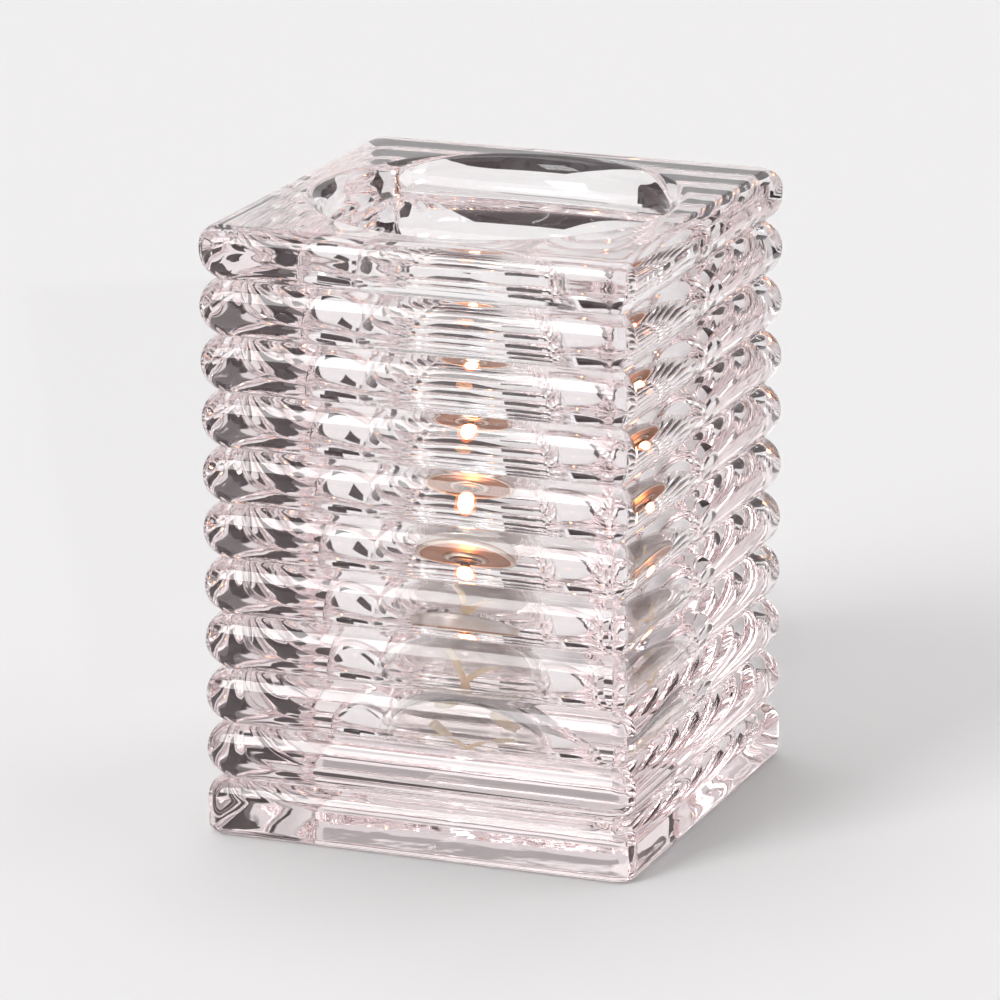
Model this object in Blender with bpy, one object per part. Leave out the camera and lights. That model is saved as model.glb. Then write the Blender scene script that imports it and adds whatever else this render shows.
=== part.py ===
"""Ribbed glass tealight holder with a liquid-fuel tealight cell standing in its cavity.

Metres, +Z up. The origin is the centre of the base, on the surface the holder stands on.
"""

import math

import bpy
from mathutils import Vector

# Glass block: a square stack of equal round ribs between a plain slab at the base and one at the top
SIDE = 0.0700
HEIGHT = 0.0954
RIBS = 9
BASE_SLAB = 0.0090
TOP_SLAB = 0.0082
RIB_PITCH = (HEIGHT - BASE_SLAB - TOP_SLAB) / RIBS
GROOVE_DEPTH = 0.0026
CORNER_RADIUS = 0.0032
CORNER_SHRINK = 0.65        # how much of a groove's depth its corners lose in radius
BASE_EDGE_RADIUS = 0.0016
TOP_EDGE_RADIUS = 0.0030
BASE_SHOULDER = 0.0032      # height over which a slab curves in to its groove
TOP_SHOULDER = 0.0042
ARC_STEPS = 3
CORNER_STEPS = 3

# Cavity: round, open at the top, drafted so that the glass leaves its mould
FLOOR_THICKNESS = 0.0135
CAVITY_FLOOR_RADIUS = 0.0215
CAVITY_TOP_RADIUS = 0.0266
CAVITY_FILLET = 0.0040
LIP_RADIUS = 0.0025
CAVITY_SEGMENTS = 48

# Fuel bottle: clear plastic, standing on the cavity floor
CLEARANCE = 0.0003
BOTTLE_BASE = FLOOR_THICKNESS + CLEARANCE
BOTTLE_FOOT_RADIUS = 0.0188
BOTTLE_BODY_RADIUS = 0.0203
BOTTLE_WALL = 0.0009
BODY_TOP = 0.0262
NECK_RADIUS = 0.0120
NECK_BOTTOM = 0.0318
NECK_TOP = 0.0356
FOOT_FILLET = 0.0016

# Metal cap over the neck, with a rolled rim, a dished top and a raised boss
CAP_SHEET = 0.0006
CAP_INNER_RADIUS = NECK_RADIUS + CLEARANCE
CAP_OUTER_RADIUS = CAP_INNER_RADIUS + CAP_SHEET
CAP_RIM_RADIUS = 0.0135
CAP_BOTTOM = 0.0330
CAP_TOP = 0.0378
CAP_RIM_WIDTH = 0.0016
DISH_DEPTH = 0.0010
BOSS_RADIUS = 0.0052
BOSS_SLOPE = 0.0008

# Wick sleeve and the two strands of the wick
STRAND_RADIUS = 0.0010
STRAND_OFFSET = 0.0012
SLEEVE_INNER_RADIUS = STRAND_OFFSET + STRAND_RADIUS + CLEARANCE
SLEEVE_OUTER_RADIUS = SLEEVE_INNER_RADIUS + 0.0005
SLEEVE_BOTTOM = 0.0345
SLEEVE_TOP = 0.0389
SLEEVE_FLANGE_RADIUS = 0.0042
SLEEVE_FLANGE_THICKNESS = 0.0004
WICK_TOP = 0.0404
SPLAY_START = 0.0262
FRONT_END = (-0.0029, -0.0108)      # where each strand's end lies on the bottle's floor
BACK_END = (0.0081, 0.0024)
STRANDS = (("strand_front", -1, FRONT_END), ("strand_back", 1, BACK_END))
STRAND_SIDES = 10
STRAND_STEPS = 4

# Liquid paraffin
FUEL_BOTTOM = BOTTLE_BASE + BOTTLE_WALL + CLEARANCE
FUEL_TOP = 0.0195

ROUND_SEGMENTS = 36
SMALL_SEGMENTS = 24
SMOOTH_ANGLE = math.radians(35)


def clear_scene():
    for scene_object in list(bpy.data.objects):
        bpy.data.objects.remove(scene_object, do_unlink=True)


def material(name, colour, roughness, metallic=0.0, transmission=0.0, ior=1.45):
    new_material = bpy.data.materials.new(name)
    new_material.use_nodes = True
    shader = new_material.node_tree.nodes["Principled BSDF"]
    shader.inputs["Base Color"].default_value = (*colour, 1.0)
    shader.inputs["Roughness"].default_value = roughness
    shader.inputs["Metallic"].default_value = metallic
    shader.inputs["Transmission Weight"].default_value = transmission
    shader.inputs["IOR"].default_value = ior
    return new_material


def mesh_object(name, vertices, faces, shading=None):
    mesh = bpy.data.meshes.new(name)
    mesh.from_pydata(vertices, [], faces)
    mesh.validate()
    mesh.shade_smooth()
    mesh.set_sharp_from_angle(angle=SMOOTH_ANGLE)
    new_object = bpy.data.objects.new(name, mesh)
    bpy.context.scene.collection.objects.link(new_object)
    if shading:
        mesh.materials.append(shading)
    return new_object


def arc(centre, radius, start, end, steps):
    """Points of an arc in the (r, z) plane, angles in degrees from the +r direction."""
    angles = [math.radians(start + (end - start) * i / steps) for i in range(steps + 1)]
    return [(centre[0] + radius * math.cos(a), centre[1] + radius * math.sin(a)) for a in angles]


def turned(name, profile, segments, shading=None):
    """Solid of revolution about Z. The (r, z) profile runs with the material on its left.

    A profile that starts and ends on the axis closes there; any other one is a closed loop.
    """
    on_axis = profile[0][0] == 0.0 and profile[-1][0] == 0.0
    rings = profile[1:-1] if on_axis else profile
    vertices = []
    for radius, z in rings:
        for i in range(segments):
            angle = 2 * math.pi * i / segments
            vertices.append((radius * math.cos(angle), radius * math.sin(angle), z))
    faces = []
    for k in range(len(rings) if not on_axis else len(rings) - 1):
        low, high = k * segments, (k + 1) % len(rings) * segments
        for i in range(segments):
            j = (i + 1) % segments
            faces.append((low + i, low + j, high + j, high + i))
    if on_axis:
        first, last = len(vertices), len(vertices) + 1
        vertices += [(0.0, 0.0, profile[0][1]), (0.0, 0.0, profile[-1][1])]
        top_ring = (len(rings) - 1) * segments
        for i in range(segments):
            j = (i + 1) % segments
            faces.append((first, j, i))
            faces.append((last, top_ring + i, top_ring + j))
    return mesh_object(name, vertices, faces, shading)


def tube(name, path, radius, sides, shading=None):
    """Round cord along a path that starts upright; its rings are carried along without twist."""
    vertices = []
    across = Vector((1.0, 0.0, 0.0))
    for i, point in enumerate(path):
        tangent = (path[min(i + 1, len(path) - 1)] - path[max(i - 1, 0)]).normalized()
        across = (across - across.dot(tangent) * tangent).normalized()
        along = across.cross(tangent)
        for k in range(sides):
            angle = 2 * math.pi * k / sides
            vertices.append(point + radius * (math.cos(angle) * across + math.sin(angle) * along))
    faces = []
    for i in range(len(path) - 1):
        for k in range(sides):
            j = (k + 1) % sides
            faces.append((i * sides + k, (i + 1) * sides + k, (i + 1) * sides + j, i * sides + j))
    faces.append(tuple(range(sides)))
    faces.append(tuple((len(path) - 1) * sides + k for k in reversed(range(sides))))
    return mesh_object(name, vertices, faces, shading)


def subtract(target, cutter):
    cutter.hide_render = True
    cutter.display_type = "WIRE"
    cut = target.modifiers.new("cut_" + cutter.name, "BOOLEAN")
    cut.operation = "DIFFERENCE"
    cut.solver = "EXACT"
    cut.object = cutter


def crest_to_groove(reach, depth):
    """(inset, rise) along an arc that starts upright at a crest and ends in a groove."""
    radius = (reach ** 2 + depth ** 2) / (2 * depth)
    end = math.asin(reach / radius)
    angles = [end * i / ARC_STEPS for i in range(ARC_STEPS + 1)]
    return [(radius * (1 - math.cos(angle)), radius * math.sin(angle)) for angle in angles]


def slab_outline(thickness, edge_radius, shoulder):
    """(inset, height) of an end slab's side, from its flat face to its groove."""
    points = []
    for i in range(ARC_STEPS + 1):
        angle = math.radians(90) * i / ARC_STEPS
        points.append((edge_radius * (1 - math.sin(angle)), edge_radius * (1 - math.cos(angle))))
    for inset, rise in crest_to_groove(shoulder, GROOVE_DEPTH):
        points.append((inset, thickness - shoulder + rise))
    return points


def block_outline():
    """(inset, z) of the block's side from the base to the top."""
    outline = slab_outline(BASE_SLAB, BASE_EDGE_RADIUS, BASE_SHOULDER)
    half_rib = crest_to_groove(RIB_PITCH / 2, GROOVE_DEPTH)
    for rib in range(RIBS):
        middle = BASE_SLAB + (rib + 0.5) * RIB_PITCH
        outline += [(inset, middle - rise) for inset, rise in half_rib[-2::-1]]
        outline += [(inset, middle + rise) for inset, rise in half_rib[1:]]
    top_slab = slab_outline(TOP_SLAB, TOP_EDGE_RADIUS, TOP_SHOULDER)
    outline += [(inset, HEIGHT - height) for inset, height in top_slab[-2::-1]]
    return outline


def rounded_square(inset, z):
    half = SIDE / 2 - inset
    radius = CORNER_RADIUS - CORNER_SHRINK * inset
    ring = []
    for corner in range(4):
        turn = math.radians(90) * corner
        centre = Vector((half - radius, half - radius, 0.0))
        for i in range(CORNER_STEPS + 1):
            angle = math.radians(90) * i / CORNER_STEPS
            point = centre + radius * Vector((math.cos(angle), math.sin(angle), 0.0))
            x = point.x * math.cos(turn) - point.y * math.sin(turn)
            y = point.x * math.sin(turn) + point.y * math.cos(turn)
            ring.append((x, y, z))
    return ring


def make_glass_block():
    rings = [rounded_square(inset, z) for inset, z in block_outline()]
    count = len(rings[0])
    faces = [tuple(reversed(range(count)))]
    for k in range(len(rings) - 1):
        for i in range(count):
            j = (i + 1) % count
            faces.append((k * count + i, k * count + j, (k + 1) * count + j, (k + 1) * count + i))
    faces.append(tuple((len(rings) - 1) * count + i for i in range(count)))
    vertices = [vertex for ring in rings for vertex in ring]
    glass = material("pressed_glass", (0.96, 0.93, 0.94), 0.02, transmission=1.0, ior=1.51)
    block = mesh_object("glass_block", vertices, faces, glass)

    above = HEIGHT + 0.002
    lip_centre = (CAVITY_TOP_RADIUS + LIP_RADIUS, HEIGHT - LIP_RADIUS)
    fillet_centre = (CAVITY_FLOOR_RADIUS - CAVITY_FILLET, FLOOR_THICKNESS + CAVITY_FILLET)
    profile = [(0.0, FLOOR_THICKNESS)]
    profile += arc(fillet_centre, CAVITY_FILLET, -90, 0, 4)
    profile += arc(lip_centre, LIP_RADIUS, 180, 90, 4)
    profile += [(lip_centre[0], above), (0.0, above)]
    subtract(block, turned("cavity_cutter", profile, CAVITY_SEGMENTS))


def make_fuel_bottle():
    wall = BOTTLE_WALL
    foot = (BOTTLE_FOOT_RADIUS - FOOT_FILLET, BOTTLE_BASE + FOOT_FILLET)
    shoulder_height = NECK_BOTTOM - BODY_TOP
    shoulder_reach = BOTTLE_BODY_RADIUS - NECK_RADIUS

    def shoulder(offset):
        """Shoulder from the body's top to the neck, offset inwards."""
        points = []
        for i in range(5):
            angle = math.radians(90) * i / 4
            points.append((NECK_RADIUS - offset + shoulder_reach * math.cos(angle),
                           BODY_TOP - offset + shoulder_height * math.sin(angle)))
        return points

    profile = [(0.0, BOTTLE_BASE)]
    profile += arc(foot, FOOT_FILLET, -90, 0, 2)
    profile += shoulder(0.0)
    profile += [(NECK_RADIUS, NECK_TOP), (NECK_RADIUS - wall, NECK_TOP)]
    profile += shoulder(wall)[::-1]
    profile += arc(foot, FOOT_FILLET - wall, 0, -90, 2)
    profile += [(0.0, BOTTLE_BASE + wall)]
    plastic = material("clear_plastic", (0.97, 0.96, 0.96), 0.05, transmission=1.0, ior=1.49)
    turned("fuel_bottle", profile, ROUND_SEGMENTS, plastic)


def make_neck_cap():
    sheet = CAP_SHEET
    hole = SLEEVE_OUTER_RADIUS + CLEARANCE
    dish = CAP_TOP - DISH_DEPTH
    rim_inner = CAP_OUTER_RADIUS - CAP_RIM_WIDTH
    profile = [
        (CAP_INNER_RADIUS, CAP_BOTTOM),
        (CAP_RIM_RADIUS, CAP_BOTTOM),
        (CAP_RIM_RADIUS, CAP_BOTTOM + sheet),
        (CAP_OUTER_RADIUS, CAP_BOTTOM + 2 * sheet),
        (CAP_OUTER_RADIUS, CAP_TOP - sheet),
        (CAP_OUTER_RADIUS - sheet / 2, CAP_TOP),
        (rim_inner + sheet / 2, CAP_TOP),
        (rim_inner, dish),
        (BOSS_RADIUS + BOSS_SLOPE, dish),
        (BOSS_RADIUS, CAP_TOP),
        (hole, CAP_TOP),
        (hole, CAP_TOP - sheet),
        (BOSS_RADIUS - sheet / 2, CAP_TOP - sheet),
        (BOSS_RADIUS + BOSS_SLOPE - sheet / 2, dish - sheet),
        (CAP_INNER_RADIUS, dish - sheet),
    ]
    tinplate = material("tinplate", (0.56, 0.54, 0.52), 0.35, metallic=1.0)
    turned("neck_cap", profile, ROUND_SEGMENTS, tinplate)


def make_wick_sleeve():
    flange_bottom = CAP_TOP + CLEARANCE
    flange_top = flange_bottom + SLEEVE_FLANGE_THICKNESS
    profile = [
        (SLEEVE_INNER_RADIUS, SLEEVE_BOTTOM),
        (SLEEVE_OUTER_RADIUS, SLEEVE_BOTTOM),
        (SLEEVE_OUTER_RADIUS, flange_bottom),
        (SLEEVE_FLANGE_RADIUS, flange_bottom),
        (SLEEVE_FLANGE_RADIUS, flange_top),
        (SLEEVE_OUTER_RADIUS, flange_top),
        (SLEEVE_OUTER_RADIUS, SLEEVE_TOP),
        (SLEEVE_INNER_RADIUS, SLEEVE_TOP),
    ]
    steel = material("sleeve_steel", (0.50, 0.48, 0.46), 0.30, metallic=1.0)
    turned("wick_sleeve", profile, SMALL_SEGMENTS, steel)


def strand_path(side, end):
    """Centre line of one strand: straight down from the flame, then out over the bottle's floor."""
    rest = FUEL_BOTTOM + 2 * CLEARANCE + STRAND_RADIUS
    drop = SPLAY_START - rest
    axis = Vector((0.0, side * STRAND_OFFSET))
    guides = [
        axis.to_3d() + Vector((0.0, 0.0, WICK_TOP)),
        axis.to_3d() + Vector((0.0, 0.0, SLEEVE_BOTTOM)),
        axis.to_3d() + Vector((0.0, 0.0, SPLAY_START)),
    ]
    for reach, height in ((0.24, 0.55), (0.62, 0.14), (1.0, 0.0)):
        across = axis.lerp(Vector(end), reach)
        guides.append(Vector((across.x, across.y, rest + drop * height)))
    path = guides[:2]
    for k in range(1, len(guides) - 1):
        after = guides[min(k + 2, len(guides) - 1)]
        for i in range(1, STRAND_STEPS + 1):
            path.append(catmull_rom(guides[k - 1], guides[k], guides[k + 1], after, i / STRAND_STEPS))
    return path


def catmull_rom(before, start, end, after, t):
    slope_in = (end - before) / 2
    slope_out = (after - start) / 2
    return (start * (2 * t ** 3 - 3 * t ** 2 + 1) + slope_in * (t ** 3 - 2 * t ** 2 + t)
            + end * (3 * t ** 2 - 2 * t ** 3) + slope_out * (t ** 3 - t ** 2))


def make_wick():
    cotton = material("wick_cotton", (0.78, 0.70, 0.52), 0.9)
    for name, side, end in STRANDS:
        tube("wick_" + name, strand_path(side, end), STRAND_RADIUS, STRAND_SIDES, cotton)


def make_liquid_fuel():
    wall_gap = BOTTLE_WALL + CLEARANCE
    foot_top = BOTTLE_BASE + FOOT_FILLET
    slope = (BOTTLE_BODY_RADIUS - BOTTLE_FOOT_RADIUS) / (BODY_TOP - BOTTLE_WALL - foot_top)
    fuel_foot = BOTTLE_FOOT_RADIUS - wall_gap
    fillet = FOOT_FILLET - BOTTLE_WALL
    profile = [(0.0, FUEL_BOTTOM), (fuel_foot - fillet, FUEL_BOTTOM)]
    profile += [(fuel_foot, FUEL_BOTTOM + fillet)]
    profile += [(fuel_foot + slope * (FUEL_TOP - foot_top), FUEL_TOP), (0.0, FUEL_TOP)]
    paraffin = material("paraffin", (0.98, 0.97, 0.95), 0.0, transmission=1.0, ior=1.44)
    fuel = turned("liquid_fuel", profile, ROUND_SEGMENTS, paraffin)
    for name, side, end in STRANDS:
        path = strand_path(side, end)
        above = [point for point in path if point.z > FUEL_TOP]
        below = [point for point in path if point.z <= FUEL_TOP]
        beyond = path[-1] + (path[-1] - path[-2]).normalized() * CLEARANCE
        channel = above[-2:] + below + [beyond]
        subtract(fuel, tube("channel_" + name, channel, STRAND_RADIUS + CLEARANCE, STRAND_SIDES))


def main():
    clear_scene()
    make_glass_block()
    make_fuel_bottle()
    make_neck_cap()
    make_wick_sleeve()
    make_wick()
    make_liquid_fuel()


main()
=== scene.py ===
import math

import bpy
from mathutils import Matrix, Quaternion, Vector, noise


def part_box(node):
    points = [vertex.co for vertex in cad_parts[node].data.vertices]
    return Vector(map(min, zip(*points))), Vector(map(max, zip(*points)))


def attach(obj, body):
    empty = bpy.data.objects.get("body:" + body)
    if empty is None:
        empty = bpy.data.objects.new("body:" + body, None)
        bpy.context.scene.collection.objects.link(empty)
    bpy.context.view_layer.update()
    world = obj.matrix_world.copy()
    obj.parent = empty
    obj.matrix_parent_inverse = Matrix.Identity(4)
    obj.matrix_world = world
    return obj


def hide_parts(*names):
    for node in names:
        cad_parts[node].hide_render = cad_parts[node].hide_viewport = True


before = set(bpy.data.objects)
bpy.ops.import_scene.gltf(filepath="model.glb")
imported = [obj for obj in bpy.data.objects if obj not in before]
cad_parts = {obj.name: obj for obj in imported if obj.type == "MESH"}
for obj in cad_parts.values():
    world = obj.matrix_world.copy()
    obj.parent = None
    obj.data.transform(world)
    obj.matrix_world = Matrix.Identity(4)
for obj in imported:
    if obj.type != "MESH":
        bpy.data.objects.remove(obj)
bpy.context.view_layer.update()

# Places taken from the frame
BLOCK_LOW, BLOCK_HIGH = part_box("glass_block")
BOTTLE_LOW, BOTTLE_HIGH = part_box("fuel_bottle")
CAP_LOW, CAP_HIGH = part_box("neck_cap")
SLEEVE_LOW, SLEEVE_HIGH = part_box("wick_sleeve")
FUEL_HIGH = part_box("liquid_fuel")[1]
STRAND_LOW, STRAND_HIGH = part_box("wick_strand_front")

# Gap between neighbouring pieces
CLEARANCE = 0.0003

# Glass block, as in the frame: a base slab, nine round ribs and a top slab
SIDE = BLOCK_HIGH[0] - BLOCK_LOW[0]
HEIGHT = BLOCK_HIGH[2]
RIBS = 9
BASE_SLAB = 0.0090
TOP_SLAB = 0.0082
RIB_PITCH = (HEIGHT - BASE_SLAB - TOP_SLAB) / RIBS
GROOVE_DEPTH = 0.0026
GROOVE_FILLET = 0.00018
CORNER_RADIUS = 0.0032
CORNER_SHRINK = 0.65
BASE_EDGE_RADIUS = 0.0016
TOP_EDGE_RADIUS = 0.0030
BASE_SHOULDER = 0.0032
TOP_SHOULDER = 0.0042
CAVITY_FLOOR = BOTTLE_LOW[2] - CLEARANCE
CAVITY_FLOOR_RADIUS = 0.0215
CAVITY_TOP_RADIUS = 0.0266
CAVITY_FILLET = 0.0040
LIP_RADIUS = 0.0025

# Pressed-glass character: slow waves in the surfaces, each made of a long and a shorter noise, and
# the mould's seam, a rippled ridge on two opposite corners
WAVE_DEPTH = 0.00008
WAVE_LENGTH = 0.011
WAVE_CONTRAST = 0.6
SHORT_WAVE_SHARE = 0.35
SHORT_WAVE_RATE = 2.7
SHORT_WAVE_SHIFT = Vector((7.0, 3.0, 5.0))
CAVITY_WAVE_SHIFT = 0.3
BASE_WAVE_SHIFT = 0.1
SEAM_HEIGHT = 0.00018
SEAM_WIDTH = 0.00048
SEAM_RIPPLE = 0.0013
SEAM_RIPPLE_SHARE = 0.4
SEAM_UNEVENNESS = 3.0
SEAM_UNEVENNESS_RATE = 900.0

# Clear bottle
BOTTLE_WALL = 0.0009
FOOT_RADIUS = 0.0188
FOOT_FILLET = 0.0016
BODY_RADIUS = BOTTLE_HIGH[0]
BODY_TOP = 0.0262
NECK_RADIUS = 0.0120
NECK_BOTTOM = 0.0318
MOUTH_BEVEL = 0.0002

# Fuel: clear of the bottle's floor and wall, with a meniscus that dies away from the wall
FUEL_GAP = 0.00005
MENISCUS_HEIGHT = 0.0005
MENISCUS_WIDTH = 0.0022
MENISCUS_FADE = 0.0006

# Cap: rolled hem and rim, dished top, raised middle
SHEET = 0.0006
DISH_DEPTH = 0.0010
BOSS_RADIUS = 0.0052
HEM_RADIUS = 0.0004
HEM_HEIGHT = 0.0013
RIM_RADIUS = 0.0007
BEND_RADIUS = 0.0004
BOSS_FOOT = 0.0009
BOSS_UNDERCUT = 0.0006

# Sleeve that grips the wick: a flange on the cap and a rolled lip
SLEEVE_RADIUS = 0.0030
FLANGE_RADIUS = SLEEVE_HIGH[0]
FLANGE_THICKNESS = 0.0004
SLEEVE_WALL = 0.0005
SLEEVE_FILLET = 0.0003
LIP_ROLL = 0.00025

# Wick: two strands of twisted plies, side by side down to the splay, then out to their ends
STRAND_RADIUS = 0.0010
STRAND_OFFSET = 0.0012
SPLAY_START = 0.0262
STRANDS = (("strand_front", -1, (-0.0029, -0.0108)), ("strand_back", 1, (0.0081, 0.0024)))
PLIES = 3
TWIST = 0.0042
PLY_DEPTH = 0.20
NECK_HEIGHTS = (0.0365, 0.0325, 0.0290)
# Steps of the splay: share of the way out, and share of the drop still to come
SPLAY_STEPS = ((0.24, 0.55), (0.62, 0.14), (1.0, 0.0))

# Flame and its faint edge: a column that is full for most of its height
FLAME_BASE = 0.0407
FLAME_TIP = 0.0516
FLAME_RADIUS = 0.0019
GLOW_TIP = 0.0534
GLOW_RADIUS = 0.0027
GLOW_DROP = 0.0004
FLAME_LOW_WEIGHT = 0.8
FLAME_FULLNESS = 1.25
FLAME_BLUNTNESS = 0.6

# Turned pieces: segments round the axis
ROUND_SEGMENTS = 96
SLEEVE_SEGMENTS = 48
FLAME_SEGMENTS = 32

# Floor under the object
FLOOR_HALF_SIZE = 3.0
FLOOR_DROP = 0.0001
FLOOR_COLOUR = (0.90, 0.90, 0.90, 1.0)

# The studio round the object: a pale tent, with lit panels and dark cards in front of it. Each one
# covers those before it: azimuth and elevation of its middle, half-width and half-height (degrees),
# radiance.
TENT_RADIANCE = 0.72
SHADOW_TINT = (0.022, 0.008, 0.012)
PANEL_SOFTNESS = 2.0
PANELS = {
    "horizon": (0.0, 5.0, 180.0, 11.0, 0.94),
    "left_card": (-90.0, 14.5, 29.0, 7.5, 0.01),
    "right_card": (140.0, 4.0, 34.0, 14.0, 0.01),
    "overhead_strip": (-168.0, 65.0, 75.0, 6.5, 2.3),
    "softbox": (-25.0, 36.0, 11.0, 15.0, 8.0),
    "front_card": (44.0, 41.0, 25.0, 26.0, 0.02),
    "back_card": (162.0, 45.0, 6.0, 40.0, 0.12),
    "behind_card": (-158.0, 23.0, 12.0, 3.5, 0.40),
    "front_low": (20.0, 3.0, 48.0, 8.0, 0.64),
}

# Dark cards close to the glass: azimuth (degrees), width, then the (distance, height) of each long edge
CARD_COLOUR = (0.030, 0.018, 0.021, 1.0)
CARDS = {
    # A dark sheet lying on the floor behind the glass: painted shadow of the floor there, seen only
    # through the glass
    "painted_shadow_behind": (-152.0, 0.12, (0.060, 0.0006), (0.34, 0.0006)),
    "card_right": (160.0, 0.20, (0.36, 0.0), (0.36, 0.14)),
    "card_left": (-105.0, 0.20, (0.28, 0.0), (0.28, 0.10)),
    "strip_left": (-66.0, 0.06, (0.13, 0.0006), (0.19, 0.0006)),
}

# Camera: angles in degrees
VIEW_AZIMUTH = 21.64
VIEW_ELEVATION = 15.84
VIEW_ROLL = -0.286
VIEW_DISTANCE = 13.957 * SIDE
FOCAL_LENGTH = 228.4
AIM = Vector((0.00047, 0.0, HEIGHT / 2 - 0.00034))

# Colours by height, as (share of the height, colour)
# The cap's orange-brown band on its rolled rim is painted light from the flame
CAP_COLOURS_AND_FLAME_GLOW = ((0.0, (0.86, 0.84, 0.81)), (0.72, (0.82, 0.78, 0.74)), (0.79, (0.44, 0.24, 0.16)),
               (0.86, (0.50, 0.29, 0.20)), (0.94, (0.84, 0.77, 0.70)))
SLEEVE_COLOURS = ((0.0, (0.6, 0.58, 0.56)), (0.7, (0.55, 0.45, 0.36)), (1.0, (0.30, 0.20, 0.15)))
COTTON_COLOURS = ((0.0, (0.98, 0.84, 0.66)), (0.45, (0.95, 0.70, 0.46)), (0.88, (0.66, 0.42, 0.24)),
                  (0.95, (0.06, 0.035, 0.025)))
FLAME_COLOURS = ((0.0, (0.9, 0.20, 0.04)), (0.16, (1.0, 0.47, 0.22)), (0.8, (1.0, 0.53, 0.28)),
                 (1.0, (1.0, 0.26, 0.07)))
GLOW_COLOURS = ((0.0, (1.0, 0.16, 0.03)), (0.5, (1.0, 0.34, 0.10)), (1.0, (1.0, 0.22, 0.05)))

# Stains on the metal, as (noise, shade), and how far they change its roughness
STAIN_SHADES = ((0.35, (0.72, 0.66, 0.62)), (0.65, (1.0, 1.0, 1.0)))
STAIN_SMOOTHER = 0.08
STAIN_ROUGHER = 0.12

# Mix node's sockets for colours, which share their names with those for numbers
MIX_FIRST_COLOUR = 6
MIX_SECOND_COLOUR = 7
MIX_COLOUR_RESULT = 2


# ---------------------------------------------------------------- helpers

def mesh_piece(name, vertices, faces, shading, body, replaced=()):
    """Piece made from a mesh. It rides on its body in place of the CAD nodes that it replaces."""
    mesh = bpy.data.meshes.new(name)
    mesh.from_pydata([tuple(v) for v in vertices], [], faces)
    mesh.update()
    mesh.shade_smooth()
    mesh.materials.append(shading)
    piece = bpy.data.objects.new(name, mesh)
    bpy.context.scene.collection.objects.link(piece)
    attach(piece, body)
    if replaced:
        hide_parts(*replaced)
    return piece


def ring_faces(rings, count, closed=False):
    """Quads between neighbouring rings of vertices, each of them a closed loop."""
    faces = []
    for k in range(rings if closed else rings - 1):
        low, high = k * count, (k + 1) % rings * count
        for i in range(count):
            j = (i + 1) % count
            faces.append((low + i, low + j, high + j, high + i))
    return faces


def turned(profile, segments):
    """Vertices and faces of a solid of revolution; a profile from axis to axis closes there."""
    on_axis = profile[0][0] == 0.0 and profile[-1][0] == 0.0
    rings = profile[1:-1] if on_axis else profile
    vertices = []
    for radius, z in rings:
        for i in range(segments):
            angle = 2 * math.pi * i / segments
            vertices.append((radius * math.cos(angle), radius * math.sin(angle), z))
    faces = ring_faces(len(rings), segments, closed=not on_axis)
    if on_axis:
        first, last = len(vertices), len(vertices) + 1
        vertices += [(0.0, 0.0, profile[0][1]), (0.0, 0.0, profile[-1][1])]
        top = (len(rings) - 1) * segments
        for i in range(segments):
            j = (i + 1) % segments
            faces.append((first, j, i))
            faces.append((last, top + i, top + j))
    return vertices, faces


def arc(centre, radius, start, end, steps):
    """Points of an arc between two angles in degrees."""
    angles = [math.radians(start + (end - start) * i / steps) for i in range(steps + 1)]
    return [(centre[0] + radius * math.cos(a), centre[1] + radius * math.sin(a)) for a in angles]


def line(start, end, steps):
    """Points from start to end, start itself left out."""
    return [(start[0] + (end[0] - start[0]) * i / steps, start[1] + (end[1] - start[1]) * i / steps)
            for i in range(1, steps + 1)]


# ---------------------------------------------------------------- materials

def principled(name):
    """New material with its nodes, its links and its shader."""
    made = bpy.data.materials.new(name)
    made.use_nodes = True
    nodes, links = made.node_tree.nodes, made.node_tree.links
    return made, nodes, links, nodes["Principled BSDF"]


def noise_bump(nodes, links, shader, scale, strength, distance, detail=2.0):
    """Fine bumps on the surface. Returns the coordinates that they follow."""
    coordinates = nodes.new("ShaderNodeTexCoord")
    grain = nodes.new("ShaderNodeTexNoise")
    grain.inputs["Scale"].default_value = scale
    grain.inputs["Detail"].default_value = detail
    bump = nodes.new("ShaderNodeBump")
    bump.inputs["Strength"].default_value = strength
    bump.inputs["Distance"].default_value = distance
    links.new(coordinates.outputs["Object"], grain.inputs["Vector"])
    links.new(grain.outputs["Fac"], bump.inputs["Height"])
    links.new(bump.outputs["Normal"], shader.inputs["Normal"])
    return coordinates


def clear_material(name, colour, refraction, roughness):
    """Material that light goes through, with its nodes, links and shader."""
    made, nodes, links, shader = principled(name)
    shader.inputs["Base Color"].default_value = colour
    shader.inputs["Transmission Weight"].default_value = 1.0
    shader.inputs["IOR"].default_value = refraction
    shader.inputs["Roughness"].default_value = roughness
    return made, nodes, links, shader


def glass_material():
    """Glass with a faint pink cast, which comes from absorption in its depth."""
    made, nodes, links, shader = clear_material("pressed_glass", (1.0, 1.0, 1.0, 1.0), 1.51, 0.0)
    noise_bump(nodes, links, shader, 160.0, 0.05, 0.0004)
    absorption = nodes.new("ShaderNodeVolumeAbsorption")
    absorption.inputs["Color"].default_value = (0.975, 0.87, 0.88, 1.0)
    absorption.inputs["Density"].default_value = 12.0
    links.new(absorption.outputs["Volume"], nodes["Material Output"].inputs["Volume"])
    return made


def plastic_material():
    colour = (0.99, 0.97, 0.965, 1.0)
    made, nodes, links, shader = clear_material("clear_plastic", colour, 1.49, 0.02)
    noise_bump(nodes, links, shader, 400.0, 0.04, 0.0002)
    return made


def paraffin_material():
    colour = (0.99, 0.975, 0.965, 1.0)
    made, nodes, links, shader = clear_material("paraffin", colour, 1.44, 0.0)
    noise_bump(nodes, links, shader, 90.0, 0.02, 0.0003)
    return made


def matte_material(name, colour, roughness):
    made, _, _, shader = principled(name)
    shader.inputs["Base Color"].default_value = colour
    shader.inputs["Roughness"].default_value = roughness
    return made


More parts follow.
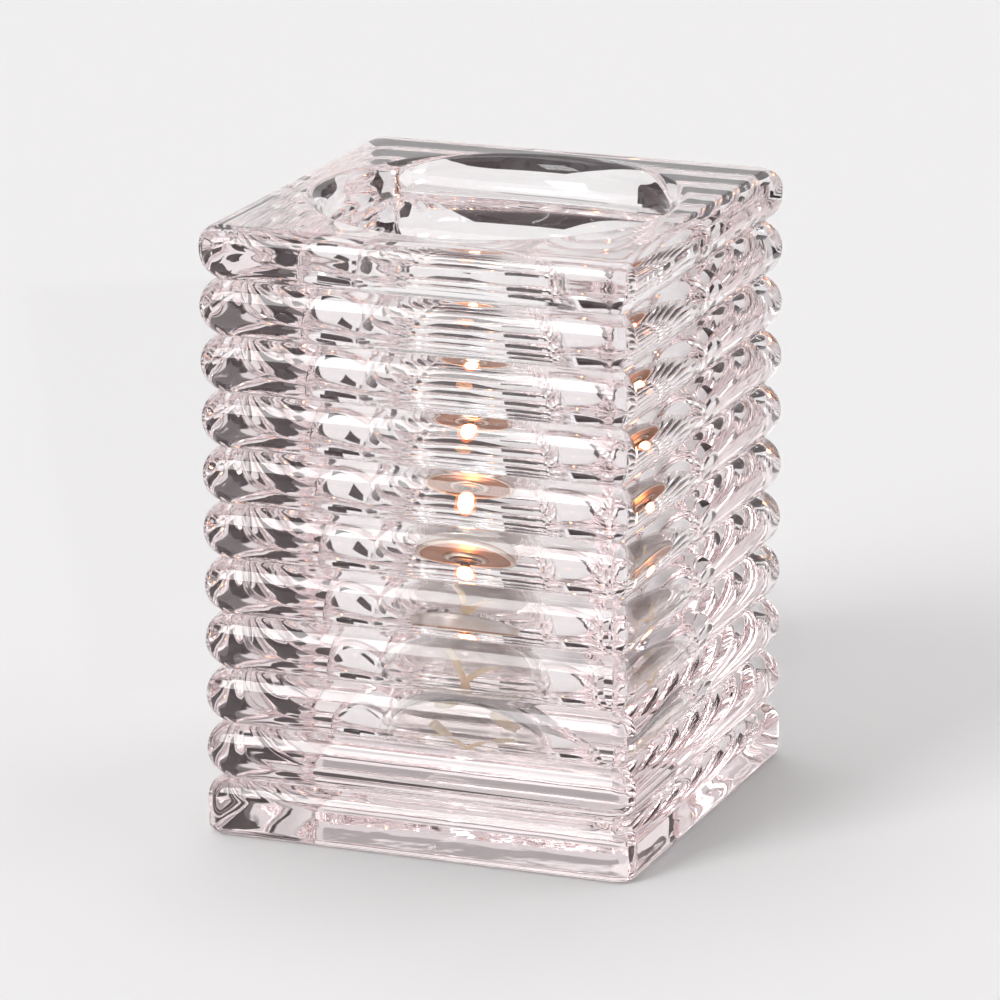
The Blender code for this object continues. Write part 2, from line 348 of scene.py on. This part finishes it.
def ramp(nodes, stops):
    """Colour ramp from (position, colour) stops."""
    made = nodes.new("ShaderNodeValToRGB")
    elements = made.color_ramp.elements
    while len(elements) < len(stops):
        elements.new(0.5)
    for element, (position, colour) in zip(elements, stops):
        element.position = position
        element.color = (*colour, 1.0)
    return made


def height_ramp(nodes, links, coordinates, low, high, stops):
    """Colour by height, from low to high in metres."""
    split = nodes.new("ShaderNodeSeparateXYZ")
    links.new(coordinates.outputs["Object"], split.inputs[0])
    spread = nodes.new("ShaderNodeMapRange")
    spread.inputs["From Min"].default_value = low
    spread.inputs["From Max"].default_value = high
    links.new(split.outputs["Z"], spread.inputs["Value"])
    colours = ramp(nodes, stops)
    links.new(spread.outputs["Result"], colours.inputs["Fac"])
    return colours


def metal_by_height(name, low, high, stops, roughness, scale):
    """Metal whose colour goes with height, dulled by fine noise. The cap's height colours hold a band
    of painted flame light.
    """
    made, nodes, links, shader = principled(name)
    shader.inputs["Metallic"].default_value = 1.0
    coordinates = noise_bump(nodes, links, shader, scale, 0.12, 0.0001, detail=4.0)
    colours = height_ramp(nodes, links, coordinates, low, high, stops)
    stains = nodes.new("ShaderNodeTexNoise")
    stains.inputs["Scale"].default_value = scale / 4
    stains.inputs["Detail"].default_value = 3.0
    links.new(coordinates.outputs["Object"], stains.inputs["Vector"])
    shade = ramp(nodes, STAIN_SHADES)
    links.new(stains.outputs["Fac"], shade.inputs["Fac"])
    mix = nodes.new("ShaderNodeMix")
    mix.data_type = "RGBA"
    mix.blend_type = "MULTIPLY"
    mix.inputs["Factor"].default_value = 1.0
    links.new(colours.outputs["Color"], mix.inputs[MIX_FIRST_COLOUR])
    links.new(shade.outputs["Color"], mix.inputs[MIX_SECOND_COLOUR])
    links.new(mix.outputs[MIX_COLOUR_RESULT], shader.inputs["Base Color"])
    rough = nodes.new("ShaderNodeMapRange")
    rough.inputs["To Min"].default_value = roughness - STAIN_SMOOTHER
    rough.inputs["To Max"].default_value = roughness + STAIN_ROUGHER
    links.new(stains.outputs["Fac"], rough.inputs["Value"])
    links.new(rough.outputs["Result"], shader.inputs["Roughness"])
    return made


def cap_material():
    # The cap's colours by height include a band of painted orange light from the flame
    return metal_by_height("tinplate", CAP_LOW[2], CAP_HIGH[2], CAP_COLOURS_AND_FLAME_GLOW, 0.36, 700.0)


def sleeve_material():
    return metal_by_height("sleeve_steel", SLEEVE_LOW[2], SLEEVE_HIGH[2], SLEEVE_COLOURS, 0.32, 900.0)


def cotton_material():
    """Cotton, charred at the top. Its faint glow is painted light along the whole wick: the flame's
    light on it, and the light that reaches its legs through the glass.
    """
    made, nodes, links, shader = principled("wick_cotton")
    shader.inputs["Roughness"].default_value = 0.95
    coordinates = noise_bump(nodes, links, shader, 3000.0, 0.5, 0.0002, detail=3.0)
    colours = height_ramp(nodes, links, coordinates, STRAND_LOW[2], STRAND_HIGH[2], COTTON_COLOURS)
    links.new(colours.outputs["Color"], shader.inputs["Base Color"])
    # Painted light: the wick's colours also glow, brightening it where little light reaches it
    links.new(colours.outputs["Color"], shader.inputs["Emission Color"])
    shader.inputs["Emission Strength"].default_value = 0.32
    return made


def flame_material():
    """A glowing column, nearly white, with an orange foot and tip."""
    made, nodes, links, shader = principled("flame")
    shader.inputs["Base Color"].default_value = (0.0, 0.0, 0.0, 1.0)
    coordinates = nodes.new("ShaderNodeTexCoord")
    colours = height_ramp(nodes, links, coordinates, FLAME_BASE, FLAME_TIP, FLAME_COLOURS)
    links.new(colours.outputs["Color"], shader.inputs["Emission Color"])
    shader.inputs["Emission Strength"].default_value = 26.0
    return made


def glow_material():
    """The flame's thin orange edge: faint and mostly see-through."""
    made, nodes, links, shader = principled("flame_edge")
    shader.inputs["Base Color"].default_value = (0.0, 0.0, 0.0, 1.0)
    shader.inputs["Specular IOR Level"].default_value = 0.0
    shader.inputs["Alpha"].default_value = 0.16
    coordinates = nodes.new("ShaderNodeTexCoord")
    colours = height_ramp(nodes, links, coordinates, FLAME_BASE, FLAME_TIP, GLOW_COLOURS)
    links.new(colours.outputs["Color"], shader.inputs["Emission Color"])
    shader.inputs["Emission Strength"].default_value = 2.5
    return made


# ---------------------------------------------------------------- glass block

def crest_arc(reach, depth, fillet=GROOVE_FILLET, steps=12, fillet_steps=3):
    """(inset, rise) from a crest to the bottom of a filleted groove."""
    radius = (reach ** 2 + depth ** 2) / (2 * depth)
    centre = radius - math.sqrt((radius + fillet) ** 2 - reach ** 2)
    meet = math.asin(reach / (radius + fillet))
    points = []
    for i in range(steps + 1):
        angle = meet * i / steps
        points.append((radius * (1 - math.cos(angle)), radius * math.sin(angle)))
    for i in range(1, fillet_steps + 1):
        angle = meet * (1 - i / fillet_steps)
        points.append((centre + fillet * math.cos(angle), reach - fillet * math.sin(angle)))
    return points


def slab_outline(thickness, edge_radius, shoulder, edge_steps=8, flat_steps=4):
    """(inset, height) of an end slab's side, from its flat face to its groove."""
    points = []
    for i in range(edge_steps + 1):
        angle = math.radians(90) * i / edge_steps
        points.append((edge_radius * (1 - math.sin(angle)), edge_radius * (1 - math.cos(angle))))
    flat = thickness - shoulder - edge_radius
    points += [(0.0, edge_radius + flat * i / flat_steps) for i in range(1, flat_steps)]
    for inset, rise in crest_arc(shoulder, GROOVE_DEPTH):
        points.append((inset, thickness - shoulder + rise))
    return points


def block_outline():
    """(inset, z) of the block's side from the base to the top."""
    outline = slab_outline(BASE_SLAB, BASE_EDGE_RADIUS, BASE_SHOULDER)
    half_rib = crest_arc(RIB_PITCH / 2, GROOVE_DEPTH)
    for rib in range(RIBS):
        middle = BASE_SLAB + (rib + 0.5) * RIB_PITCH
        outline += [(inset, middle - rise) for inset, rise in half_rib[-2::-1]]
        outline += [(inset, middle + rise) for inset, rise in half_rib[1:]]
    top_slab = slab_outline(TOP_SLAB, TOP_EDGE_RADIUS, TOP_SHOULDER)
    outline += [(inset, HEIGHT - height) for inset, height in top_slab[-2::-1]]
    return outline


def wave(point):
    """How far the surface dips at a point, between nothing and the waves' depth."""
    scaled = Vector(point) / WAVE_LENGTH
    short = noise.noise(scaled * SHORT_WAVE_RATE + SHORT_WAVE_SHIFT)
    mix = noise.noise(scaled) + SHORT_WAVE_SHARE * short
    return WAVE_DEPTH * min(max(0.5 + WAVE_CONTRAST * mix, 0.0), 1.0)


def rounded_square(inset, z, side_steps=32, corner_steps=16):
    """One closed ring of the block's side. Two opposite corners carry the mould's seam."""
    half = SIDE / 2 - inset
    radius = CORNER_RADIUS - CORNER_SHRINK * inset
    straight = half - radius
    ring = []
    for corner in range(4):
        turn = math.radians(90) * corner
        points = []
        for i in range(corner_steps + 1):
            angle = math.radians(90) * i / corner_steps
            reach = radius
            if corner in (1, 3):
                across = radius * (angle - math.radians(45)) / SEAM_WIDTH
                drift = SEAM_UNEVENNESS * math.sin(SEAM_UNEVENNESS_RATE * z)
                swing = math.sin(2 * math.pi * z / SEAM_RIPPLE + drift)
                ripple = 1 - SEAM_RIPPLE_SHARE + SEAM_RIPPLE_SHARE * swing
                reach += SEAM_HEIGHT * ripple * math.exp(-across ** 2)
            points.append((straight + reach * math.cos(angle), straight + reach * math.sin(angle)))
        for i in range(1, side_steps):
            points.append((straight - 2 * straight * i / side_steps, half))
        for x, y in points:
            ring.append((x * math.cos(turn) - y * math.sin(turn),
                         x * math.sin(turn) + y * math.cos(turn), z))
    waved = []
    for x, y, z in ring:
        keep = 1 - wave((x, y, z)) / half
        waved.append((x * keep, y * keep, z))
    return waved


def make_block():
    """Rings of points from the base's middle, up the side, over the lip and down the cavity."""
    rings = [rounded_square(inset, z) for inset, z in block_outline()]
    edge = rings[-1]
    count = len(edge)
    angles = [math.atan2(y, x) for x, y, z in edge]

    def circle(radius, z):
        ring = []
        for a in angles:
            shifted = (radius * math.cos(a), radius * math.sin(a), z + CAVITY_WAVE_SHIFT)
            reach = radius + wave(shifted)
            ring.append((reach * math.cos(a), reach * math.sin(a), z))
        return ring

    lip_centre = (CAVITY_TOP_RADIUS + LIP_RADIUS, HEIGHT - LIP_RADIUS)
    inner = circle(lip_centre[0], HEIGHT)
    top_steps = 8
    for i in range(1, top_steps):
        ring = []
        for outer_point, inner_point in zip(edge, inner):
            point = Vector(outer_point).lerp(Vector(inner_point), i / top_steps)
            point.z -= wave(point) * math.sin(math.pi * i / top_steps)
            ring.append(tuple(point))
        rings.append(ring)
    fillet_centre = (CAVITY_FLOOR_RADIUS - CAVITY_FILLET, CAVITY_FLOOR + CAVITY_FILLET)
    profile = arc(lip_centre, LIP_RADIUS, 90, 180, 10)
    profile += line(profile[-1], (CAVITY_FLOOR_RADIUS, fillet_centre[1]), 48)
    profile += arc(fillet_centre, CAVITY_FILLET, 0, -90, 10)[1:]
    profile += line(profile[-1], (0.0, CAVITY_FLOOR), 8)[:-1]
    rings += [circle(radius, z) for radius, z in profile]
    base_steps = 8
    first = rings[0]
    base = []
    for i in range(1, base_steps):
        ring = []
        for x, y, z in first:
            keep = i / base_steps
            rise = wave((x * keep, y * keep, BASE_WAVE_SHIFT)) * (1 - keep)
            ring.append((x * keep, y * keep, rise))
        base.append(ring)
    rings = base + rings
    vertices = [v for ring in rings for v in ring]
    faces = ring_faces(len(rings), count)
    bottom_centre, floor_centre = len(vertices), len(vertices) + 1
    vertices += [(0.0, 0.0, wave((0.0, 0.0, BASE_WAVE_SHIFT))), (0.0, 0.0, CAVITY_FLOOR)]
    last = (len(rings) - 1) * count
    for i in range(count):
        j = (i + 1) % count
        faces.append((bottom_centre, j, i))
        faces.append((floor_centre, last + i, last + j))
    return mesh_piece("ribbed_glass", vertices, faces, glass_material(), "holder",
                      ("glass_block",))


# ---------------------------------------------------------------- fuel cell

def make_bottle():
    """Foot, tapering body, elliptical shoulder and neck, outside and then inside."""
    base, top = BOTTLE_LOW[2], BOTTLE_HIGH[2]
    foot = (FOOT_RADIUS - FOOT_FILLET, base + FOOT_FILLET)

    def shoulder(offset):
        reach, rise = BODY_RADIUS - NECK_RADIUS, NECK_BOTTOM - BODY_TOP
        return [(NECK_RADIUS - offset + reach * math.cos(math.radians(a)),
                 BODY_TOP - offset + rise * math.sin(math.radians(a))) for a in range(0, 91, 6)]

    profile = [(0.0, base)]
    profile += arc(foot, FOOT_FILLET, -90, 0, 8)
    profile += shoulder(0.0)
    profile += [(NECK_RADIUS, top - MOUTH_BEVEL), (NECK_RADIUS - MOUTH_BEVEL, top)]
    profile += [(NECK_RADIUS - BOTTLE_WALL, top)]
    profile += shoulder(BOTTLE_WALL)[::-1]
    profile += arc(foot, FOOT_FILLET - BOTTLE_WALL, 0, -90, 6)
    profile += [(0.0, base + BOTTLE_WALL)]
    vertices, faces = turned(profile, ROUND_SEGMENTS)
    return mesh_piece("clear_fuel_bottle", vertices, faces, plastic_material(), "fuel_cell",
                      ("fuel_bottle",))


def make_cap():
    """Thin metal cap: rolled hem, straight wall, rolled rim, dished top, raised middle."""
    bottom, top = CAP_LOW[2], CAP_HIGH[2]
    hem_radius = CAP_HIGH[0]
    wall = NECK_RADIUS + CLEARANCE + SHEET
    dish = top - DISH_DEPTH
    hole = SLEEVE_RADIUS + CLEARANCE
    profile = arc((hem_radius - HEM_RADIUS, bottom + HEM_RADIUS), HEM_RADIUS, -150, 90, 8)
    profile += [(wall, bottom + HEM_HEIGHT)]
    profile += arc((wall - RIM_RADIUS, top - RIM_RADIUS), RIM_RADIUS, 0, 180, 12)
    profile += arc((wall - 2 * RIM_RADIUS - BEND_RADIUS, dish + BEND_RADIUS), BEND_RADIUS, 0, -90, 5)
    profile += arc((BOSS_RADIUS + BOSS_FOOT, dish + BEND_RADIUS), BEND_RADIUS, -90, -150, 4)
    profile += arc((BOSS_RADIUS - BEND_RADIUS, top - BEND_RADIUS), BEND_RADIUS, 40, 90, 4)
    profile += [(hole, top), (hole, top - SHEET)]
    profile += [(BOSS_RADIUS - BEND_RADIUS, top - SHEET), (BOSS_RADIUS + BOSS_UNDERCUT, dish - SHEET)]
    profile += [(wall - SHEET, dish - SHEET), (wall - SHEET, bottom + HEM_RADIUS)]
    vertices, faces = turned(profile, ROUND_SEGMENTS)
    return mesh_piece("crimped_cap", vertices, faces, cap_material(), "fuel_cell",
                      ("neck_cap",))


def make_sleeve():
    """Tube with a flange that sits on the cap and a rolled lip at its top."""
    bottom, top = SLEEVE_LOW[2], SLEEVE_HIGH[2]
    flange = CAP_HIGH[2] + CLEARANCE
    inner = SLEEVE_RADIUS - SLEEVE_WALL
    edge = FLANGE_THICKNESS / 2
    flange_top = flange + FLANGE_THICKNESS
    profile = [(inner, bottom), (SLEEVE_RADIUS, bottom), (SLEEVE_RADIUS, flange)]
    profile += arc((FLANGE_RADIUS - edge, flange + edge), edge, -90, 90, 6)
    profile += arc((SLEEVE_RADIUS + SLEEVE_FILLET, flange_top + SLEEVE_FILLET), SLEEVE_FILLET,
                   -90, -180, 4)
    profile += arc((SLEEVE_RADIUS - LIP_ROLL, top - LIP_ROLL), LIP_ROLL, 0, 180, 8)
    vertices, faces = turned(profile, SLEEVE_SEGMENTS)
    return mesh_piece("rolled_sleeve", vertices, faces, sleeve_material(), "fuel_cell",
                      ("wick_sleeve",))


def catmull_rom(before, start, end, after, t):
    """Point at t of the smooth curve from start to end, given the points on either side."""
    slope_in = (end - before) / 2
    slope_out = (after - start) / 2
    return (start * (2 * t ** 3 - 3 * t ** 2 + 1) + slope_in * (t ** 3 - 2 * t ** 2 + t)
            + end * (3 * t ** 2 - 2 * t ** 3) + slope_out * (t ** 3 - t ** 2))


def strand_path(side, end, steps=14):
    """Smooth path from the tip, down through the sleeve and out to the strand's end."""
    rest = STRAND_LOW[2] + STRAND_RADIUS
    drop = SPLAY_START - rest
    axis = Vector((0.0, side * STRAND_OFFSET))
    guides = [axis.to_3d() + Vector((0.0, 0.0, z))
              for z in (STRAND_HIGH[2], *NECK_HEIGHTS, SPLAY_START)]
    for reach, height in SPLAY_STEPS:
        across = axis.lerp(Vector(end), reach)
        guides.append(Vector((across.x, across.y, rest + drop * height)))
    path = guides[:1]
    for k in range(len(guides) - 1):
        before = guides[max(k - 1, 0)]
        after = guides[min(k + 2, len(guides) - 1)]
        for i in range(1, steps + 1):
            path.append(catmull_rom(before, guides[k], guides[k + 1], after, i / steps))
    return path


def make_strand(name, side, end, shading, sides=30):
    """A cord of twisted plies: a ring with one lobe for each ply, turned along the path."""
    path = strand_path(side, end)
    vertices = []
    across = Vector((1.0, 0.0, 0.0))
    travelled = 0.0
    for i, point in enumerate(path):
        if i:
            travelled += (point - path[i - 1]).length
        tangent = (path[min(i + 1, len(path) - 1)] - path[max(i - 1, 0)]).normalized()
        across = (across - across.dot(tangent) * tangent).normalized()
        along = across.cross(tangent)
        for k in range(sides):
            angle = 2 * math.pi * k / sides
            lobe = abs(math.cos(PLIES / 2 * (angle - 2 * math.pi * travelled / TWIST)))
            reach = STRAND_RADIUS * (1 - PLY_DEPTH + PLY_DEPTH * math.sqrt(lobe))
            vertices.append(point + reach * (math.cos(angle) * across + math.sin(angle) * along))
    faces = []
    for i in range(len(path) - 1):
        for k in range(sides):
            j = (k + 1) % sides
            faces.append((i * sides + k, (i + 1) * sides + k, (i + 1) * sides + j, i * sides + j))
    top, bottom = len(vertices), len(vertices) + 1
    vertices += [path[0], path[-1]]
    last = (len(path) - 1) * sides
    for k in range(sides):
        j = (k + 1) % sides
        faces.append((top, k, j))
        faces.append((bottom, last + j, last + k))
    return mesh_piece("twisted_" + name, vertices, faces, shading, "fuel_cell",
                      ("wick_" + name,))


def make_fuel():
    """Liquid with a small meniscus up the bottle's wall."""
    bottom = BOTTLE_LOW[2] + BOTTLE_WALL + FUEL_GAP
    surface = FUEL_HIGH[2] - MENISCUS_HEIGHT
    foot_top = BOTTLE_LOW[2] + FOOT_FILLET
    slope = (BODY_RADIUS - FOOT_RADIUS) / (BODY_TOP - BOTTLE_WALL - foot_top)

    def wall(z):
        return FOOT_RADIUS - BOTTLE_WALL - FUEL_GAP + slope * (z - foot_top)

    fillet = FOOT_FILLET - BOTTLE_WALL
    profile = [(0.0, bottom)]
    profile += arc((wall(foot_top) - fillet, bottom + fillet), fillet, -90, 0, 6)
    profile += [(wall(surface), surface), (wall(FUEL_HIGH[2]), FUEL_HIGH[2])]
    steps = 8
    for i in range(1, steps + 1):
        away = MENISCUS_WIDTH * i / steps
        rise = MENISCUS_HEIGHT * math.exp(-away / MENISCUS_FADE)
        profile.append((wall(surface) - away, surface + rise))
    profile += [(wall(surface) * 0.5, surface), (0.0, surface)]
    vertices, faces = turned(profile, ROUND_SEGMENTS)
    return mesh_piece("clear_fuel", vertices, faces, paraffin_material(), "fuel_cell",
                      ("liquid_fuel",))


def flame_shape(name, base, tip, widest, shading):
    """A column with a round foot, drawn in to a point."""
    profile = [(0.0, base)]
    steps = 28
    for i in range(1, steps):
        t = i / steps
        swell = math.sin(math.pi * t ** FLAME_LOW_WEIGHT) * FLAME_FULLNESS
        radius = widest * min(1.0, swell) ** FLAME_BLUNTNESS
        profile.append((radius, base + (tip - base) * t))
    profile.append((0.0, tip))
    vertices, faces = turned(profile, FLAME_SEGMENTS)
    return mesh_piece(name, vertices, faces, shading, "fuel_cell")


def make_flame():
    flame_shape("flame", FLAME_BASE, FLAME_TIP, FLAME_RADIUS, flame_material())
    flame_shape("flame_edge", FLAME_BASE - GLOW_DROP, GLOW_TIP, GLOW_RADIUS, glow_material())


# ---------------------------------------------------------------- stage

def make_floor():
    size = FLOOR_HALF_SIZE
    mesh = bpy.data.meshes.new("floor")
    mesh.from_pydata([(-size, -size, 0), (size, -size, 0), (size, size, 0), (-size, size, 0)],
                     [], [(0, 1, 2, 3)])
    floor = bpy.data.objects.new("floor", mesh)
    floor.location.z = -FLOOR_DROP
    mesh.materials.append(matte_material("pale_floor", FLOOR_COLOUR, 0.8))
    bpy.context.scene.collection.objects.link(floor)


def make_cards():
    """Black cards that show only in reflections and through the glass. They cast no shadow. The one
    lying flat behind the glass is a painted shadow on the floor.
    """
    for name, (azimuth, width, low, high) in CARDS.items():
        out = Vector((math.sin(math.radians(azimuth)), -math.cos(math.radians(azimuth)), 0.0))
        across = Vector((-out.y, out.x, 0.0)) * width / 2
        corners = []
        for side, (distance, height) in ((-1, low), (1, low), (1, high), (-1, high)):
            corners.append(out * distance + across * side + Vector((0.0, 0.0, height)))
        mesh = bpy.data.meshes.new(name)
        mesh.from_pydata([tuple(corner) for corner in corners], [], [(0, 1, 2, 3)])
        mesh.materials.append(matte_material(name, CARD_COLOUR, 0.9))
        card = bpy.data.objects.new(name, mesh)
        card.visible_camera = False
        card.visible_diffuse = False
        card.visible_shadow = False
        bpy.context.scene.collection.objects.link(card)


def make_world():
    """The studio's light as a sky: each panel covers the ones before it."""
    world = bpy.data.worlds.new("studio")
    bpy.context.scene.world = world
    world.use_nodes = True
    nodes, links = world.node_tree.nodes, world.node_tree.links
    background = nodes["Background"]

    def math_node(operation, a, b=None, c=None):
        node = nodes.new("ShaderNodeMath")
        node.operation = operation
        for socket, value in zip(node.inputs, (a, b, c)):
            if isinstance(value, (int, float)):
                socket.default_value = value
            elif value is not None:
                links.new(value, socket)
        return node.outputs[0]

    coordinates = nodes.new("ShaderNodeTexCoord")
    split = nodes.new("ShaderNodeSeparateXYZ")
    links.new(coordinates.outputs["Generated"], split.inputs[0])
    x, y, z = split.outputs
    elevation = math_node("DEGREES", math_node("ARCSINE", z))
    azimuth = math_node("DEGREES", math_node("ARCTAN2", x, math_node("MULTIPLY", y, -1.0)))

    def band(value, middle, half):
        """1 within half of the middle, falling to 0 over the panels' softness."""
        offset = math_node("WRAP", math_node("SUBTRACT", value, middle), 180.0, -180.0)
        step = nodes.new("ShaderNodeMapRange")
        step.interpolation_type = "SMOOTHSTEP"
        step.inputs["From Min"].default_value = half
        step.inputs["From Max"].default_value = half + PANEL_SOFTNESS
        step.inputs["To Min"].default_value = 1.0
        step.inputs["To Max"].default_value = 0.0
        links.new(math_node("ABSOLUTE", offset), step.inputs["Value"])
        return step.outputs[0]

    seen = TENT_RADIANCE
    for azimuth_at, elevation_at, half_width, half_height, radiance in PANELS.values():
        inside = math_node("MULTIPLY", band(azimuth, azimuth_at, half_width),
                           band(elevation, elevation_at, half_height))
        gain = math_node("SUBTRACT", radiance, seen)
        seen = math_node("MULTIPLY_ADD", inside, gain, seen)
    tinted = nodes.new("ShaderNodeCombineColor")
    for socket, tint in zip(tinted.inputs, SHADOW_TINT):
        links.new(math_node("ADD", seen, tint), socket)
    links.new(tinted.outputs[0], background.inputs["Color"])


def make_camera():
    """Camera that looks at the object from the view's azimuth and elevation."""
    azimuth, elevation = math.radians(VIEW_AZIMUTH), math.radians(VIEW_ELEVATION)
    back = Vector((math.sin(azimuth) * math.cos(elevation),
                   -math.cos(azimuth) * math.cos(elevation), math.sin(elevation)))
    data = bpy.data.cameras.new("camera")
    data.lens = FOCAL_LENGTH
    data.clip_start, data.clip_end = 0.05, 20.0
    camera = bpy.data.objects.new("camera", data)
    camera.location = AIM + back * VIEW_DISTANCE
    camera.rotation_mode = "QUATERNION"
    look = (-back).to_track_quat("-Z", "Y")
    camera.rotation_quaternion = look @ Quaternion((0, 0, 1), math.radians(VIEW_ROLL))
    bpy.context.scene.collection.objects.link(camera)
    bpy.context.scene.camera = camera


def set_light_paths():
    """Enough bounces for light to get through all the ribs."""
    cycles = bpy.context.scene.cycles
    cycles.max_bounces = 32
    cycles.transmission_bounces = 32
    cycles.glossy_bounces = 16
    cycles.transparent_max_bounces = 16
    cycles.sample_clamp_indirect = 8.0
    bpy.context.scene.view_settings.view_transform = "Standard"


make_block()
make_bottle()
make_cap()
make_sleeve()
cotton = cotton_material()
for strand, side, end in STRANDS:
    make_strand(strand, side, end, cotton)
make_fuel()
make_flame()
make_floor()
make_cards()
make_world()
make_camera()
set_light_paths()
